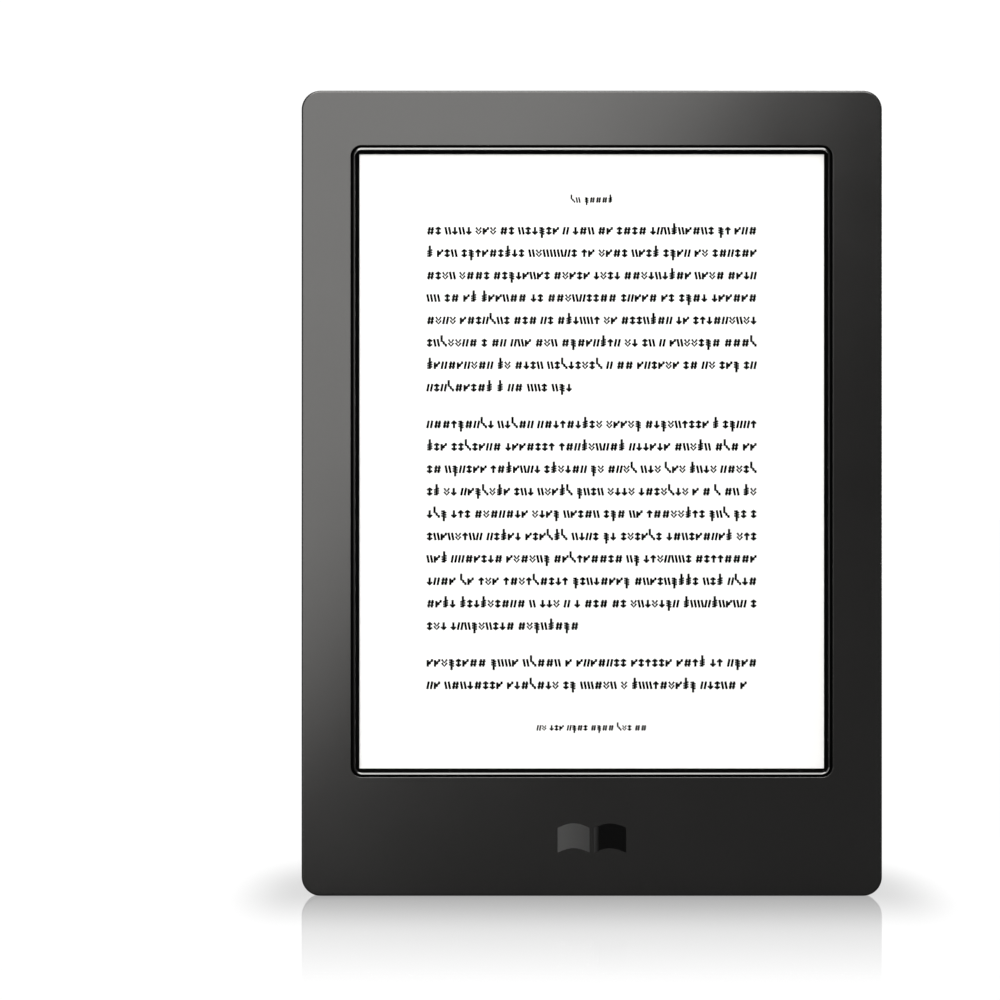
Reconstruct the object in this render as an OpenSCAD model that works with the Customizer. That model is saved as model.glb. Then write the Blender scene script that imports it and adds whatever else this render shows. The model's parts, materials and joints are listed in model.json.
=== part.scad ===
// E-reader standing upright: x runs across the face, y from the face to the back, z up.
// The origin is at the middle of the bottom edge, at half the depth.

/* [Body] */
// Width across the face
body_w = 129; // [127:0.5:132]
// Height of the body, without the power button
body_h = 179; // [177:0.5:182]
// Depth from the face to the flat of the back
body_d = 9.7; // [9.6:0.1:10.4]
// Radius of the four outer corners
corner_r = 4.2; // [3.5:0.1:6]
// Thickness of the bezel's face
bezel_skin = 0.9; // [0.8:0.05:0.95]
// Depth of the seam between the bezel and the rear cover
seam_depth = 1.45; // [1.3:0.05:1.6]
// Thickness of the side walls
wall = 1.6; // [1.4:0.1:1.6]
// Thickness of the back wall
rear_wall = 1.2; // [1:0.1:1.2]

/* [Window and screen] */
// Width of the bezel beside the window
window_side = 10.95; // [10.8:0.05:11.3]
// Height of the bezel above the window
window_top = 12.2; // [12:0.1:13]
// Height of the bezel below the window
window_bottom = 26.4; // [26:0.1:27]
// Corner radius of the window
window_r = 2.4; // [1.5:0.1:3]
// Gap between the bezel and the infrared window frame
window_gap = 0.5; // [0.3:0.05:0.5]
// Width of the glossy ledge round the window frame
ledge_w = 0.5; // [0.3:0.05:0.6]
// Depth of the ledge behind the face
ledge_depth = 0.3; // [0.15:0.05:0.5]
// Width of the dark slope from the ledge down to the screen
slope_w = 0.85; // [0.7:0.05:1.1]
// Depth of the touched surface behind the face
screen_depth = 1.55; // [1.5:0.05:1.6]

/* [Back facets] */
// Side edge to the broad facet's fold, at the top
broad_fold_top = 17.6; // [15:0.1:19]
// Side edge to the broad facet's fold, at the bottom
broad_fold_bottom = 23.5; // [21:0.1:25]
// Fall of the broad facet for each millimetre across
broad_slope = 0.13; // [0.1:0.01:0.14]
// Side edge to the peak where the three folds meet
peak_inset = 15.1; // [13:0.1:17]
// Top edge to the peak
peak_drop = 14.7; // [12:0.1:17]
// Fall of the top facet for each millimetre upwards
top_slope = 0.17; // [0.12:0.01:0.18]
// Side edge to the narrow facet's fold, at the bottom
narrow_fold_bottom = 11; // [10:0.1:12]
// Fall of the narrow facet for each millimetre across
narrow_slope = 0.27; // [0.2:0.01:0.28]

/* [Power button] */
// Button's middle, measured from the middle of the top edge
button_x = 42; // [40:0.5:43]
// Length of the button
button_w = 12.2; // [10:0.1:12.4]
// Width of the button across the edge
button_t = 3.2; // [2.4:0.1:3.2]
// Height of the button above the edge
button_proud = 0.25; // [0.15:0.05:0.5]
// Travel of the button
button_travel = 0.4; // [0.2:0.05:0.4]

/* [Port door] */
// Width of the door in the bottom edge
door_w = 40; // [39:0.1:41]
// Thickness of the door's plate
door_t = 1.1; // [1:0.05:1.1]

/* [Inside] */
// Width of the battery cell
battery_w = 60; // [50:1:62]
// Height of the battery cell
battery_h = 70; // [60:1:74]
// Thickness of the battery cell
battery_t = 2.9; // [2.4:0.1:2.9]
// Width of the main board
board_w = 96; // [95:1:98]
// Height of the main board
board_h = 42; // [42:1:44]

/* [Hidden] */
$fn = 48;
// Overshoot of a cut past the face that it opens
cut = 0.5;

// Depths, from the face to the back
front_y = -body_d / 2;
back_y = body_d / 2;
skin_y = front_y + bezel_skin;
seam_y = front_y + seam_depth;
ledge_y = front_y + ledge_depth;
guide_y = [front_y + screen_depth, front_y + screen_depth + 0.44];
film_y = [guide_y[1], guide_y[1] + 0.36];
glass_y = [film_y[1], film_y[1] + 0.7];
tape_y = [glass_y[1], glass_y[1] + 0.2];
plate_y = [tape_y[1], tape_y[1] + 0.8];
board_y = [plate_y[1] + 1, plate_y[1] + 1.8];
touch_y = [guide_y[0], guide_y[0] + 0.6];

// Ranges across and up
body_x = [-body_w / 2, body_w / 2];
body_z = [0, body_h];
window_x = grow(body_x, -window_side);
window_z = [window_bottom, body_h - window_top];
screen_inset = window_gap + ledge_w + slope_w;
screen_x = grow(window_x, -screen_inset);
screen_z = grow(window_z, -screen_inset);
flange_w = 0.45;
guide_x = grow(screen_x, 2);
guide_z = [screen_z[0] - 2.25, screen_z[1] + 2];
glass_x = grow(screen_x, 1.5);
glass_z = [screen_z[0] - 8.75, screen_z[1] + 1.5];
touch_gap = 0.65;
touch_leg = 4.3;
light_room = 1.55;
touch_in_x = grow(window_x, touch_gap);
touch_in_z = [window_z[0] - touch_gap - light_room, window_z[1] + touch_gap];
touch_part = [1.6, 1.2];
touch_row_gap = 0.7;
row_x = grow(touch_in_x, touch_row_gap);
row_z = grow(touch_in_z, touch_row_gap);
row_ends_x = grow(screen_x, -3);
row_ends_z = grow(screen_z, -3);

// Places of the folds on the back, as [x, z]
broad_top = [body_x[1] - broad_fold_top, body_h];
broad_bottom = [body_x[1] - broad_fold_bottom, 0];
peak = [body_x[0] + peak_inset, body_h - peak_drop];
narrow_bottom = [body_x[0] + narrow_fold_bottom, 0];

// Chassis, its screws and its places for the flexes
rim_inset = 2.7;
rim_w = 2.9;
chassis_z = [rim_inset, body_h - rim_inset];
ledge_in_x = grow(touch_in_x, 0.4);
screw_x = body_x[1] - 4.2;
screw_places = [for (x = [-screw_x, screw_x], z = [12, body_h / 2, body_h - 12]) [x, z]];
screw_head = [1.2, 0.5];
screw_r = 0.7;
screw_length = 2.1;
screw_seat_y = plate_y[0] - 0.3;
slot_x = [24, 41.5];
slot_z = [15.2, 17.8];

// Flexes, and their places across
flex_t = 0.15;
touch_flex_x = [-40, -30];
light_flex_x = [-28, -25];
display_flex_x = [24.5, 40.5];
power_flex_x = [36, 41];
touch_flex_y = touch_y[1] + flex_t / 2;

// Main board and its standoffs
board_x = [-board_w / 2, board_w / 2];
board_z = [7, 7 + board_h];
post_places = [for (x = [-1, 1], z = [10, 46]) [x * (board_w / 2 - 4), z]];
post_r = 1.9;
post_screw_r = 0.6;
connector_z = [10, 13];
connector_front_y = board_y[0] - 0.8;
power_connector_z = [44, 47];
inner_socket_x = [12, 26];
inner_socket_z = [9, 22];
inner_card_y = [board_y[1] + 0.35, board_y[1] + 1.05];

// Antenna and its cable
antenna_x = [-58, -42];
antenna_z = [150, 158];
cable_x = -46;
cable_r = 0.4;
cable_foot_z = 42;

// Power button and status light, on the top edge
button_y = plate_y[1] + 1.4;
button_fit = 0.1;
flange_t = 0.7;
flange_top_z = body_h - wall - 0.1;
flange_bottom_z = flange_top_z - flange_t;
stem_w = 3;
stem_t = 1.8;
stem_bottom_z = flange_bottom_z - 1.05;
nub_top_z = stem_bottom_z - button_travel - 0.05;
switch_top_z = nub_top_z - 0.5;
power_board_y = [plate_y[1], plate_y[1] + 0.5];
power_board_z = [body_h - 19, switch_top_z - 0.1];
status_x = 31.5;
status_r = 0.5;

// Port bay in the bottom edge
door_x = [-door_w / 2, door_w / 2];
door_recess = 0.1;
door_z = [door_recess, door_recess + door_t];
hinge = [board_y[0] + 2, 0.75];
hinge_r = 0.65;
pin_r = 0.3;
pin_fit = 0.06;
door_front_y = hinge[0] - 4.6;
door_play = 0.15;
bay_inset = 1.2;
bay_x = grow(door_x, -bay_inset);
bay_y = [door_front_y + 0.1, hinge[0] - 0.45];
bay_top_z = 3.4;
bay_block_x = grow(door_x, 2.5);
mouth_z = 3.6;
frame_z = [2.6, bay_top_z];
seal_z = [door_z[1], door_z[1] + 1];

// Sockets behind the port bay
usb_at_y = board_y[0] + 0.1;
usb_w = 7.5;
usb_t = 2.5;
usb_z = [mouth_z, mouth_z + 5.2];
usb_shell = 0.25;
tongue_y = [usb_at_y + 0.05, usb_at_y + 0.65];
tongue_top_z = usb_z[1] - usb_shell;
card_x = [-18.1, -4.1];
card_y = [board_y[0] - 1.45, board_y[0]];
card_z = [mouth_z, mouth_z + 14.9];
card_lane_x = [-17.7, -4.5];
card_lane_y = [card_y[0] + 0.25, card_y[1] - 0.25];
card_lane_top_z = card_z[1] - 0.3;
slider_x = [-6.3, -4.6];
slider_z = [8, 14.5];
reset_at = [9.5, board_y[0] - 0.8];
reset_r = 0.5;
plunger_z = [5.4, 7.7];

// Battery
battery_x = [20 - battery_w, 20];
battery_z = [60, 60 + battery_h];
battery_y = [plate_y[1] + 0.2, plate_y[1] + 0.2 + battery_t];
lead_r = 0.35;
lead_pitch = 1.5;
lead_y = board_y[1] + 0.8;
header_x = [-20, -14];
header_z = [44.5, 48];
plug_z = [48, 51.5];

// Emblem on the bezel below the screen
emblem_z = 9.6;
emblem_depth = 0.1;
page_w = 7.2;
page_h = 5.6;
page_curve = 1;
page_gap = 0.9;
page_steps = 10;

function grow(range, by) = [range[0] - by, range[1] + by];
// Radius of a corner that lies further in, which stays a true round
function inner_r(r, inset) = max(r - inset, 0.4);
function middle(range) = (range[0] + range[1]) / 2;
function around(centre, width) = [centre - width / 2, centre + width / 2];
function ribbon_span(a, b) = [min(a, b) - flex_t / 2, max(a, b) + flex_t / 2];

// Box given by its ranges along x, y and z
module block(x, y, z) {
    translate([x[0], y[0], z[0]])
        cube([x[1] - x[0], y[1] - y[0], z[1] - z[0]]);
}

// Upright outline carried through a range of depths
module through(y) {
    translate([0, y[1], 0])
        rotate([90, 0, 0])
            linear_extrude(y[1] - y[0])
                children();
}

// Round bar along y
module bar_y(at, y, r) {
    translate([at[0], y[1], at[1]])
        rotate([90, 0, 0])
            cylinder(h = y[1] - y[0], r = r);
}

// Round bar along x, at [y, z]
module bar_x(x, at, r) {
    translate([x[0], at[0], at[1]])
        rotate([0, 90, 0])
            cylinder(h = x[1] - x[0], r = r);
}

// Rectangle with round corners
module outline(x, z, r) {
    translate([x[0] + r, z[0]])
        square([x[1] - x[0] - 2 * r, z[1] - z[0]]);
    translate([x[0], z[0] + r])
        square([x[1] - x[0], z[1] - z[0] - 2 * r]);
    for (cx = [x[0] + r, x[1] - r], cz = [z[0] + r, z[1] - r])
        translate([cx, cz])
            circle(r);
}

module body_outline(inset) {
    outline(grow(body_x, -inset), grow(body_z, -inset), inner_r(corner_r, inset));
}

module window_outline(inset) {
    outline(grow(window_x, -inset), grow(window_z, -inset), inner_r(window_r, inset));
}

// Ring between two insets of the body's outline
module body_ring(outer, inner, y) {
    difference() {
        through(y) body_outline(outer);
        through(grow(y, cut)) body_outline(inner);
    }
}

// Everything behind a plane that leaves the back along the line from a to b
module facet_cut(a, b, slope) {
    reach = 2 * body_h;
    translate([a[0], back_y, a[1]])
        rotate([0, -atan2(b[1] - a[1], b[0] - a[0]), 0])
            rotate([atan(slope), 0, 0])
                translate([-reach, 0, 0])
                    cube([2 * reach, body_d, reach]);
}

module facet_cuts() {
    facet_cut(broad_top, broad_bottom, broad_slope);
    facet_cut(peak, broad_top, top_slope);
    facet_cut(narrow_bottom, peak, narrow_slope);
}

// Rear cover's outline between the seam and the faceted back
module faceted_shape(inset, y) {
    difference() {
        through(y) body_outline(inset);
        translate([0, y[1] - back_y, 0]) facet_cuts();
    }
}

// Bar with round ends on the top edge
module stadium(x, y, width, thickness, z) {
    r = thickness / 2;
    block(around(x, width - thickness), around(y, thickness), z);
    for (end = around(x, width - thickness))
        translate([end, y, z[0]])
            cylinder(h = z[1] - z[0], r = r);
}

// Flat flex through points given as [y, z], with square folds
module ribbon(x, points) {
    for (i = [1 : len(points) - 1])
        block(
            x,
            ribbon_span(points[i - 1][0], points[i][0]),
            ribbon_span(points[i - 1][1], points[i][1])
        );
}

// Round wire through points given as [x, y, z]
module wire(points, r) {
    for (i = [1 : len(points) - 1]) {
        run = points[i] - points[i - 1];
        translate(points[i - 1])
            rotate([0, acos(run[2] / norm(run)), atan2(run[1], run[0])])
                cylinder(h = norm(run), r = r);
    }
    for (i = [1 : len(points) - 2])
        translate(points[i])
            sphere(r * 1.05);
}

// One page of an open book, from the spine outwards
module page(inset) {
    x0 = page_gap / 2 + inset;
    x1 = page_gap / 2 + page_w - inset;
    rise = [for (i = [0 : page_steps]) page_curve * sin(180 * i / page_steps)];
    across = [for (i = [0 : page_steps]) x0 + (x1 - x0) * i / page_steps];
    polygon(concat(
        [for (i = [0 : page_steps]) [across[i], rise[i] + inset]],
        [for (i = [page_steps : -1 : 0]) [across[i], rise[i] + page_h - inset]]
    ));
}

module emblem_outline(inset) {
    translate([0, emblem_z])
        for (side = [0, 1])
            mirror([side, 0])
                page(inset);
}

module front_bezel() {
    color("#474645")
        difference() {
            through([front_y, seam_y]) body_outline(0);
            through([skin_y, seam_y + cut]) body_outline(wall);
            through([front_y - cut, skin_y + cut]) window_outline(0);
            through([front_y - cut, front_y + emblem_depth]) emblem_outline(0);
        }
}

module emblem_inlay() {
    color("#5a5958")
        through([front_y + 0.02, front_y + emblem_depth]) emblem_outline(0.04);
}

module screw_bosses() {
    for (place = screw_places)
        bar_y(place, [plate_y[1], back_y], screw_r + 1);
}

// Stiffening ribs inside the back, clear of the battery
module back_ribs() {
    rib_y = battery_y[1] + 0.4;
    for (x = [-44, -22, 0, 22, 38])
        block(around(x, 0.8), [rib_y, back_y], [55, 158]);
}

// Thick wall round the port bay
module port_block() {
    block(bay_block_x, [seam_y + 0.5, back_y], [wall / 2, bay_top_z]);
}

module port_recess() {
    block(
        grow(door_x, door_play),
        [door_front_y - 0.1, hinge[0] + hinge_r + 0.1],
        [-cut, door_z[1] + 0.1]
    );
    bar_x(grow(door_x, door_play), hinge, hinge_r + 0.1);
    block(bay_x, bay_y, [0, bay_top_z + cut]);
    bar_x(grow(door_x, 1.4), hinge, pin_r);
}

module rear_cover() {
    color("#4d4b4b")
        difference() {
            union() {
                difference() {
                    faceted_shape(0, [seam_y, back_y]);
                    faceted_shape(wall, [seam_y - cut, back_y - rear_wall]);
                }
                intersection() {
                    faceted_shape(wall / 2, [seam_y, back_y - rear_wall / 2]);
                    union() {
                        screw_bosses();
                        back_ribs();
                        port_block();
                    }
                }
            }
            for (place = screw_places)
                bar_y(place, [plate_y[1] - cut, screw_seat_y + screw_length + 0.1], screw_r);
            port_recess();
            stadium(
                button_x, button_y,
                button_w + 2 * button_fit, button_t + 2 * button_fit,
                [body_h - wall - cut, body_h + cut]
            );
            translate([status_x, button_y, body_h - wall - cut])
                cylinder(h = wall + 2 * cut, r = status_r + 0.02);
        }
}

module perimeter_seal() {
    color("#1b1b1b")
        body_ring(wall + 0.05, rim_inset - 0.15, [skin_y, seam_y + 0.5]);
}

module chassis_plate() {
    through(plate_y) body_outline(rim_inset);
    body_ring(rim_inset, rim_inset + rim_w, [skin_y, plate_y[0]]);
    difference() {
        through([touch_y[1], plate_y[0]]) body_outline(rim_inset + rim_w / 2);
        through([touch_y[1] - cut, plate_y[0] + cut])
            outline(ledge_in_x, [chassis_z[0] + rim_w, touch_in_z[1] + 0.4], 1);
    }
    for (place = post_places)
        bar_y(place, [plate_y[1], board_y[0]], post_r);
}

module chassis() {
    color("#8d9092")
        difference() {
            chassis_plate();
            block(grow(bay_block_x, 0.5), [seam_y + 0.4, plate_y[1] + cut], [0, card_z[1] + 0.5]);
            for (side = [0, 1])
                mirror([side, 0, 0])
                    block(slot_x, [touch_y[1], plate_y[1] + cut], slot_z);
            block(
                around(button_x, button_w + 6),
                [plate_y[0] - 0.4, plate_y[1] + cut],
                [switch_top_z, body_h]
            );
            for (place = screw_places) {
                bar_y(place, [skin_y - cut, screw_seat_y], screw_head[0] + 0.1);
                bar_y(place, [skin_y, plate_y[1] + cut], screw_r + 0.1);
            }
            for (place = post_places)
                bar_y(place, [plate_y[0] + 0.1, board_y[0] + cut], post_screw_r);
        }
}

// Screw along y with a crossed slot in its head, whose seat is at y
module screw(place, y, toward, head_r, head_t, shaft_r, length) {
    slot_w = 0.3;
    top = y - toward * head_t;
    difference() {
        bar_y(place, [min(y, top), max(y, top)], head_r);
        for (size = [[slot_w, head_r * 1.3], [head_r * 1.3, slot_w]])
            block(
                around(place[0], size[0]),
                around(top, head_t),
                around(place[1], size[1])
            );
    }
    bar_y(place, [min(y, y + toward * length), max(y, y + toward * length)], shaft_r);
}

module chassis_screws() {
    color("#b4b6b8")
        for (place = screw_places)
            screw(place, screw_seat_y, 1, screw_head[0], screw_head[1], screw_r, screw_length);
}

// Opening that narrows from the ledge down to the screen
module screen_funnel() {
    hull() {
        block(screen_x, [guide_y[0], guide_y[0] + cut], screen_z);
        block(
            grow(screen_x, slope_w),
            [ledge_y - cut, ledge_y],
            grow(screen_z, slope_w)
        );
    }
}

module infrared_window_frame() {
    color("#141414")
        difference() {
            union() {
                through([ledge_y, skin_y]) window_outline(window_gap);
                through([skin_y, guide_y[0]]) window_outline(-flange_w);
            }
            screen_funnel();
        }
}

module touch_outline(by, r) {
    outline(grow(touch_in_x, by), grow(touch_in_z, by), r);
}

module touch_board() {
    color("#1f4a35")
        difference() {
            through(touch_y) touch_outline(touch_leg, 1.5);
            through(grow(touch_y, cut)) touch_outline(0, 0.5);
        }
}

// Row of parts of one size in front of the touch board, n of them between two places
module touch_row(n, from, to, size) {
    for (i = [0 : n - 1]) {
        at = from + (to - from) * i / (n - 1);
        block(around(at[0], size[0]), [skin_y + 0.05, touch_y[0]], around(at[1], size[1]));
    }
}

module touch_rows(x, z) {
    touch_row(11, [row_ends_x[0], z], [row_ends_x[1], z], touch_part);
    touch_row(15, [x, row_ends_z[0]], [x, row_ends_z[1]], [touch_part[1], touch_part[0]]);
}

module infrared_emitters() {
    color("#2a2440")
        touch_rows(row_x[1], row_z[0]);
}

module infrared_receivers() {
    color("#202020")
        touch_rows(row_x[0], row_z[1]);
}

// Flex from a part of the front stack, back through the chassis and down to its connector
module board_flex(x, start) {
    down_y = start[len(start) - 1][0];
    enter_y = board_y[0] - 0.5;
    ribbon(x, concat(start, [
        [down_y, middle(slot_z)],
        [enter_y, middle(slot_z)],
        [enter_y, connector_z[1] + flex_t / 2]
    ]));
}

module touch_flex() {
    color("#b07a2c")
        board_flex(touch_flex_x, [[touch_flex_y, touch_in_z[0] - 2]]);
}

module front_light_guide() {
    color("#eef0f0", 0.5)
        through(guide_y) outline(guide_x, guide_z, 0.5);
}

module front_light_leds() {
    led_n = 8;
    led_w = 2.4;
    ends = grow(guide_x, -6);
    color("#f3e9b0")
        for (i = [0 : led_n - 1])
            block(
                around(ends[0] + (ends[1] - ends[0]) * i / (led_n - 1), led_w),
                guide_y,
                [guide_z[0] - 0.9, guide_z[0] - 0.05]
            );
}

module front_light_flex() {
    strip_y = guide_y[1] + flex_t / 2;
    strip_z = [guide_z[0] - 1.5, guide_z[0] + 0.8];
    color("#c08a3a") {
        ribbon(grow(guide_x, -4), [[strip_y, strip_z[0]], [strip_y, strip_z[1]]]);
        board_flex(light_flex_x, [[strip_y, strip_z[0]], [touch_flex_y, strip_z[0]]]);
    }
}

module e_paper_film() {
    color("#e9e9e6")
        through(film_y) outline(grow(screen_x, 0.9), grow(screen_z, 0.9), 0.3);
}

module backplane_glass() {
    color("#9fb4b0")
        through(glass_y) outline(glass_x, glass_z, 0.4);
}

module display_drivers() {
    chip = [16, 0.18, 1.4];
    chip_z = glass_z[0] + 3.3;
    color("#2b2b2e")
        for (x = [-14, 8, 30])
            block(
                around(x, chip[0]),
                [glass_y[0] - chip[1], glass_y[0]],
                around(chip_z, chip[2])
            );
}

module display_flex() {
    color("#a9742a")
        board_flex(display_flex_x, [[glass_y[0] - flex_t / 2, glass_z[0] + 1]]);
}

module display_tape() {
    tape_w = 5;
    color("#2e2e30")
        difference() {
            through(tape_y) outline(grow(glass_x, -0.7), grow(glass_z, -0.7), 0.5);
            through(grow(tape_y, cut))
                outline(grow(glass_x, -tape_w), grow(glass_z, -tape_w), 0.5);
        }
}

module power_button() {
    color("#3f3e3d") {
        stadium(button_x, button_y, button_w, button_t, [flange_top_z, body_h + button_proud]);
        stadium(
            button_x, button_y, button_w + 1.4, button_t + 1.2, [flange_bottom_z, flange_top_z]
        );
        stadium(button_x, button_y, stem_w, stem_t, [stem_bottom_z, flange_bottom_z]);
    }
}

module power_button_seal() {
    lip_z = [flange_bottom_z - 0.55, flange_bottom_z];
    color("#232323")
        difference() {
            stadium(button_x, button_y, button_w + 0.6, button_t + 0.6, lip_z);
            stadium(button_x, button_y, stem_w, stem_t, grow(lip_z, cut));
        }
}

module power_switch() {
    body_t = 1.8;
    color("#c9cacb") {
        block(
            around(button_x, 7),
            [power_board_y[1], power_board_y[1] + body_t],
            [switch_top_z - 3, switch_top_z]
        );
        block(around(button_x, 3), around(button_y, 1.2), [switch_top_z, nub_top_z]);
    }
}

module power_board() {
    color("#1f4a35")
        through(power_board_y) outline([28, 51], power_board_z, 1);
}

module power_flex() {
    flex_y = plate_y[1] + flex_t / 2;
    foot_z = board_z[1] - 4.5;
    color("#b07a2c")
        ribbon(
            power_flex_x,
            [[flex_y, foot_z], [flex_y, power_board_z[0] - flex_t / 2]]
        );
}

module status_led() {
    color("#f4f1d8")
        block(
            around(status_x, 1.6),
            [power_board_y[1], power_board_y[1] + 1.2],
            [switch_top_z - 2, switch_top_z - 0.4]
        );
}

module status_light_pipe() {
    color("#dfe3e4")
        translate([status_x, button_y, switch_top_z - 0.2])
            cylinder(h = body_h - switch_top_z + 0.18, r = status_r);
}

module port_door() {
    notch_w = 8;
    notch_t = 0.45;
    color("#3f3e3d")
        difference() {
            union() {
                block(door_x, [door_front_y, hinge[0]], door_z);
                bar_x(door_x, hinge, hinge_r);
            }
            bar_x(grow(door_x, cut), hinge, pin_r + pin_fit);
            block(
                around(0, notch_w),
                [door_front_y - cut, door_front_y + notch_t],
                [0, door_z[0] + notch_t]
            );
        }
}

// Soft plug on the door's inner face, with a hollow so that its lip can give
module port_door_seal() {
    plug_x = grow(bay_x, -0.2);
    plug_y = [bay_y[0] + 0.3, bay_y[1] - 0.2];
    lip = 1;
    color("#1d1d1d")
        difference() {
            block(plug_x, plug_y, seal_z);
            block(grow(plug_x, -lip), grow(plug_y, -lip), [middle(seal_z), seal_z[1] + cut]);
        }
}

module port_door_pin() {
    color("#b9bbbd")
        bar_x(grow(door_x, 1.3), hinge, pin_r);
}

// Plate at the back of the port bay, with an opening for each socket
module port_frame() {
    color("#2b2b2b")
        difference() {
            block(bay_x, bay_y, frame_z);
            block(around(0, usb_w - 0.4), around(usb_at_y, usb_t - 0.4), grow(frame_z, cut));
            block([card_lane_x[0], slider_x[0] - 0.2], card_lane_y, grow(frame_z, cut));
            translate([reset_at[0], reset_at[1], frame_z[0] - cut])
                cylinder(h = bay_top_z - frame_z[0] + 2 * cut, r = reset_r + 0.05);
        }
}

// Mouth of the charging socket, with its two slanted corners towards the face
module usb_profile(inset) {
    half_w = usb_w / 2 - inset;
    half_t = usb_t / 2 - inset;
    slant = 0.8;
    polygon([
        [-half_w, half_t], [half_w, half_t], [half_w, slant - half_t],
        [half_w - slant, -half_t], [slant - half_w, -half_t], [-half_w, slant - half_t]
    ]);
}

module usb_receptacle() {
    color("#b4b6b8")
        translate([0, usb_at_y, usb_z[0]])
            difference() {
                linear_extrude(usb_z[1] - usb_z[0]) usb_profile(0);
                translate([0, 0, -cut])
                    linear_extrude(usb_z[1] - usb_z[0] - usb_shell + cut)
                        usb_profile(usb_shell);
            }
}

module usb_tongue() {
    color("#151515")
        block(around(0, 4.4), tongue_y, [usb_z[0] + 0.7, tongue_top_z]);
}

module usb_contacts() {
    pitch = 0.65;
    color("#d4b15a")
        for (i = [-2 : 2])
            block(
                around(i * pitch, 0.35),
                [tongue_y[0] - 0.1, tongue_y[0]],
                [usb_z[0] + 1, tongue_top_z]
            );
}

module card_socket() {
    color("#b4b6b8")
        difference() {
            block(card_x, card_y, card_z);
            block(card_lane_x, card_lane_y, [card_z[0] - cut, card_lane_top_z]);
        }
}

// Sprung slide that catches a card and pushes it out again
module card_slider() {
    slider_y = grow(card_lane_y, -0.05);
    color("#232323") {
        block(slider_x, slider_y, slider_z);
        block([slider_x[0] - 2.7, slider_x[0]], slider_y, [slider_z[1] - 1, slider_z[1]]);
    }
}

module reset_switch() {
    switch_z = [6.6, 9.6];
    color("#2c2c2c")
        difference() {
            block(around(reset_at[0], 3), around(reset_at[1], 1.6), switch_z);
            translate([reset_at[0], reset_at[1], switch_z[0] - cut])
                cylinder(h = plunger_z[1] + 0.3 - switch_z[0] + cut, r = reset_r + 0.05);
        }
}

module reset_plunger() {
    color("#d8d8d6")
        translate([reset_at[0], reset_at[1], plunger_z[0]])
            cylinder(h = plunger_z[1] - plunger_z[0], r = reset_r);
}

module main_board() {
    color("#1f4a35")
        difference() {
            through(board_y) outline(board_x, board_z, 2);
            block(around(0, usb_w + 0.2), grow(board_y, cut), [0, usb_z[1] + 0.1]);
            for (place = post_places)
                bar_y(place, grow(board_y, cut), post_screw_r + 0.2);
        }
}

module board_screws() {
    color("#b4b6b8")
        for (place = post_places)
            screw(place, board_y[1], -1, 1.5, 0.6, post_screw_r, 2.2);
}

// Part on the back face of the main board
module mounted(x, z, height) {
    block(x, [board_y[1], board_y[1] + height], z);
}

module processor() {
    color("#26272a")
        mounted([-7, 7], [24, 38], 1.2);
}

module memory_chips() {
    color("#222326") {
        mounted([11, 20], [27, 39], 1);
        mounted([-19, -10], [25, 36], 1);
    }
}

module power_chip() {
    color("#2a2b2d")
        mounted([24, 31], [30, 37], 0.9);
}

module coils() {
    coil_w = 3;
    color("#4b4a4a")
        for (x = [28, 33], z = [24, 41])
            mounted(around(x, coil_w), around(z, coil_w), 1.2);
}

// Small resistors and capacitors in rows
module small_parts() {
    part = [1, 0.5];
    color("#b59f77")
        for (row = [[-10, 21], [-10, 42], [34, 28], [34, 34], [-42, 40]], i = [0 : 5])
            mounted(around(row[0] + 1.8 * i, part[0]), around(row[1], part[1]), part[1]);
}

module shield_can() {
    shield_x = [-44, -22];
    shield_z = [14, 36];
    shield_t = 0.15;
    shield_height = 1.6;
    color("#c4c6c8")
        difference() {
            mounted(shield_x, shield_z, shield_height);
            translate([0, -cut, 0])
                mounted(
                    grow(shield_x, -shield_t),
                    grow(shield_z, -shield_t),
                    shield_height - shield_t + cut
                );
        }
}

module wireless_module() {
    color("#2b3b2f")
        mounted([-42, -30], [17, 29], 1.1);
}

module wireless_antenna() {
    color("#a9742a")
        block(antenna_x, [plate_y[1], plate_y[1] + 0.2], antenna_z);
}

module antenna_cable() {
    low_y = plate_y[1] + cable_r + 0.02;
    high_y = board_y[1] + 0.5;
    color("#1a1a1a")
        wire([
            [cable_x, high_y, cable_foot_z], [cable_x, high_y, board_z[1] + 1],
            [cable_x, low_y, board_z[1] + 5], [cable_x, low_y, antenna_z[0]]
        ], cable_r);
}

// Connectors for the flexes on the front face of the board, and the antenna's on the back
module board_connectors() {
    front = [connector_front_y, board_y[0]];
    color("#d9d4c4") {
        for (x = [touch_flex_x, light_flex_x, display_flex_x])
            block(grow(x, 0.4), front, connector_z);
        block(grow(power_flex_x, 0.4), [plate_y[1] + flex_t, board_y[0]], power_connector_z);
        mounted(around(cable_x, 1.6), [cable_foot_z - 1.6, cable_foot_z], 1);
    }
}

module inner_card_socket() {
    color("#b4b6b8")
        difference() {
            mounted(inner_socket_x, inner_socket_z, 1.4);
            block(
                grow(inner_socket_x, -1.45),
                inner_card_y,
                [inner_socket_z[0] + 1, inner_socket_z[1] + cut]
            );
        }
}

module inner_card() {
    color("#1c1c1c")
        block(grow(inner_socket_x, -1.5), inner_card_y, [inner_socket_z[0] + 1, 25]);
}

// Sensor that a magnet in a cover wakes
module cover_sensor() {
    color("#242426")
        mounted([43, 45.9], [24, 25.6], 1);
}

module battery_cell() {
    fold_h = 3.5;
    color("#a9adb0") {
        through(battery_y) outline(battery_x, [battery_z[0] + fold_h, battery_z[1]], 2);
        through([battery_y[0], battery_y[1] - 0.5])
            outline(grow(battery_x, -1), [battery_z[0], battery_z[0] + fold_h + 1], 0.5);
    }
}

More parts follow.
